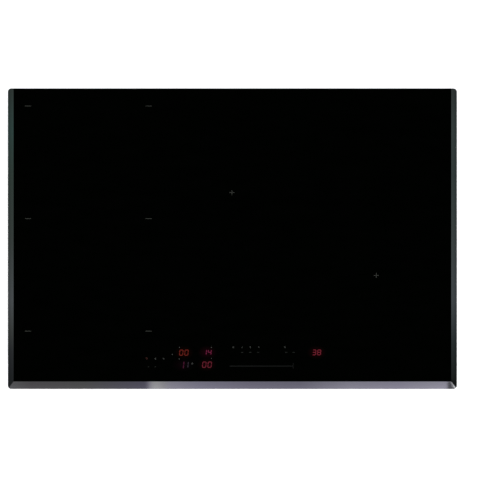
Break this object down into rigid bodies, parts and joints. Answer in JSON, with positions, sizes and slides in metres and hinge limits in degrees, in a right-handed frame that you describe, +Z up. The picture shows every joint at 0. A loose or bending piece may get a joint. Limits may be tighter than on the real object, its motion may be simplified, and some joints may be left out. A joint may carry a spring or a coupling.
{
  "type": "electric induction cooktop",
  "caption": "Built-in induction cooktop: bevelled black glass-ceramic top over flat coils, cooling fans, power boards and a touch control, in a shallow steel casing.",
  "frame": {"origin": "middle of the casing's underside, on the plane it would stand on", "axes": "+X to the user's right along the controls edge, +Y from the user to the back of the worktop, +Z up through the glass"},
  "size_m": [0.78, 0.522, 0.056],
  "materials": {
    "glass_ceramic": "black glass-ceramic, polished, ground bevels",
    "foam_seal": "closed-cell foam tape",
    "silicone": "cured silicone bead",
    "galvanised_steel": "hot-dip galvanised sheet",
    "frame_steel": "black powder-coated steel",
    "plate_aluminium": "mill-finish sheet",
    "sink_aluminium": "extruded",
    "zinc_screw": "zinc plated",
    "spring_steel": "stainless spring strip",
    "spring_wire": "bright wire",
    "litz": "copper-coloured enamelled litz",
    "former_plastic": "glass-filled, heat resistant",
    "ferrite": "sintered",
    "mica": "pressed mica and fibre sheet",
    "sensor_white": "fired, unglazed",
    "tray_plastic": "flame-retardant moulding",
    "circuit_board": "solder-masked glass fibre",
    "capacitor_blue": "boxed film capacitor",
    "choke_copper": "enamelled copper over a ferrite core",
    "connector_white": "natural nylon",
    "package_black": "moulded epoxy",
    "fan_black": "moulded",
    "motor_grey": "over-moulded stator",
    "carrier_black": "moulded",
    "display_smoke": "smoked display face",
    "pad_grey": "conductive foam",
    "box_grey": "moulded",
    "bushing_rubber": "moulded",
    "block_cream": "moulded",
    "terminal_brass": "nickel-free brass",
    "lead_silicone": "silicone insulation",
    "mains_insulation": "insulated wire",
    "ribbon_grey": "flat cable"
  },
  "bodies": {
    "cooktop": {"glass_panel": "glass_ceramic", "worktop_seal": "foam_seal", "glue_line": "silicone", "carrier_frame": "frame_steel", "bottom_casing": "galvanised_steel", "casing_screws": "zinc_screw", "inner_screws": "zinc_screw", "coil_support_plate": "plate_aluminium", "plate_posts": "tray_plastic", "ferrite_bars": "ferrite", "mica_sheets": "mica", "board_trays": "tray_plastic", "filter_board": "circuit_board", "power_board_left": "circuit_board", "power_board_right": "circuit_board", "film_capacitors": "capacitor_blue", "filter_chokes": "choke_copper", "board_connectors": "connector_white", "power_transistors": "package_black", "heat_sinks": "sink_aluminium", "fan_motors": "motor_grey", "fan_housing_left": "fan_black", "fan_housing_right": "fan_black", "panel_carrier": "carrier_black", "touch_board": "circuit_board", "digit_displays": "display_smoke", "touch_pads": "pad_grey", "terminal_box": "box_grey", "cable_bushing": "bushing_rubber", "terminal_block": "block_cream", "terminal_screws": "terminal_brass", "cover_pin": "spring_wire", "coil_leads": "lead_silicone", "mains_wires": "mains_insulation", "panel_ribbon": "ribbon_grey", "spring_hooks": "spring_steel", "coil_former_rear_left": "former_plastic", "coil_winding_rear_left": "litz", "sensor_spring_rear_left": "spring_wire", "coil_former_front_left": "former_plastic", "coil_winding_front_left": "litz", "sensor_spring_front_left": "spring_wire", "coil_former_middle": "former_plastic", "coil_winding_middle": "litz", "sensor_spring_middle": "spring_wire", "coil_former_right": "former_plastic", "coil_winding_right": "litz", "sensor_spring_right": "spring_wire"},
    "fan_wheel_left": {"fan_impeller_left": "fan_black"},
    "fan_wheel_right": {"fan_impeller_right": "fan_black"},
    "sensor_head_rear_left": {"sensor_rear_left": "sensor_white"},
    "sensor_head_front_left": {"sensor_front_left": "sensor_white"},
    "sensor_head_middle": {"sensor_middle": "sensor_white"},
    "sensor_head_right": {"sensor_right": "sensor_white"},
    "grip_leaf_front_left": {"spring_leaf_front_left": "spring_steel"},
    "grip_leaf_rear_left": {"spring_leaf_rear_left": "spring_steel"},
    "grip_leaf_front_right": {"spring_leaf_front_right": "spring_steel"},
    "grip_leaf_rear_right": {"spring_leaf_rear_right": "spring_steel"},
    "cover_flap": {"terminal_cover": "box_grey"}
  },
  "joints": [
    {"name": "fan_left_spin", "type": "hinge", "parent": "cooktop", "child": "fan_wheel_left", "pos_m": [-0.2505, 0.1285, 0.015], "axis": [0, 0, 1], "continuous": true},
    {"name": "fan_right_spin", "type": "hinge", "parent": "cooktop", "child": "fan_wheel_right", "pos_m": [0.2505, 0.1285, 0.015], "axis": [0, 0, 1], "continuous": true},
    {"name": "sensor_rear_left_press", "type": "slide", "parent": "cooktop", "child": "sensor_head_rear_left", "axis": [0, 0, 1], "range_m": [-0.002, 0], "stiffness_N_per_m": 400, "springref_m": 0.004, "deforming": ["sensor_spring_rear_left"]},
    {"name": "sensor_front_left_press", "type": "slide", "parent": "cooktop", "child": "sensor_head_front_left", "axis": [0, 0, 1], "range_m": [-0.002, 0], "stiffness_N_per_m": 400, "springref_m": 0.004, "deforming": ["sensor_spring_front_left"]},
    {"name": "sensor_middle_press", "type": "slide", "parent": "cooktop", "child": "sensor_head_middle", "axis": [0, 0, 1], "range_m": [-0.002, 0], "stiffness_N_per_m": 400, "springref_m": 0.004, "deforming": ["sensor_spring_middle"]},
    {"name": "sensor_right_press", "type": "slide", "parent": "cooktop", "child": "sensor_head_right", "axis": [0, 0, 1], "range_m": [-0.002, 0], "stiffness_N_per_m": 400, "springref_m": 0.004, "deforming": ["sensor_spring_right"]},
    {"name": "grip_front_left_flex", "type": "hinge", "parent": "cooktop", "child": "grip_leaf_front_left", "pos_m": [-0.37205, -0.1395, 0.009], "axis": [0, 1, 0], "range_deg": [0, 8], "stiffness_Nm_per_rad": 1},
    {"name": "grip_rear_left_flex", "type": "hinge", "parent": "cooktop", "child": "grip_leaf_rear_left", "pos_m": [-0.37205, 0.1395, 0.009], "axis": [0, 1, 0], "range_deg": [0, 8], "stiffness_Nm_per_rad": 1},
    {"name": "grip_front_right_flex", "type": "hinge", "parent": "cooktop", "child": "grip_leaf_front_right", "pos_m": [0.37205, -0.1395, 0.009], "axis": [0, -1, 0], "range_deg": [0, 8], "stiffness_Nm_per_rad": 1},
    {"name": "grip_rear_right_flex", "type": "hinge", "parent": "cooktop", "child": "grip_leaf_rear_right", "pos_m": [0.37205, 0.1395, 0.009], "axis": [0, -1, 0], "range_deg": [0, 8], "stiffness_Nm_per_rad": 1},
    {"name": "terminal_cover_hinge", "type": "hinge", "parent": "cooktop", "child": "cover_flap", "pos_m": [0.014, 0.2385, 0.0325], "axis": [1, 0, 0], "range_deg": [0, 85]}
  ]
}
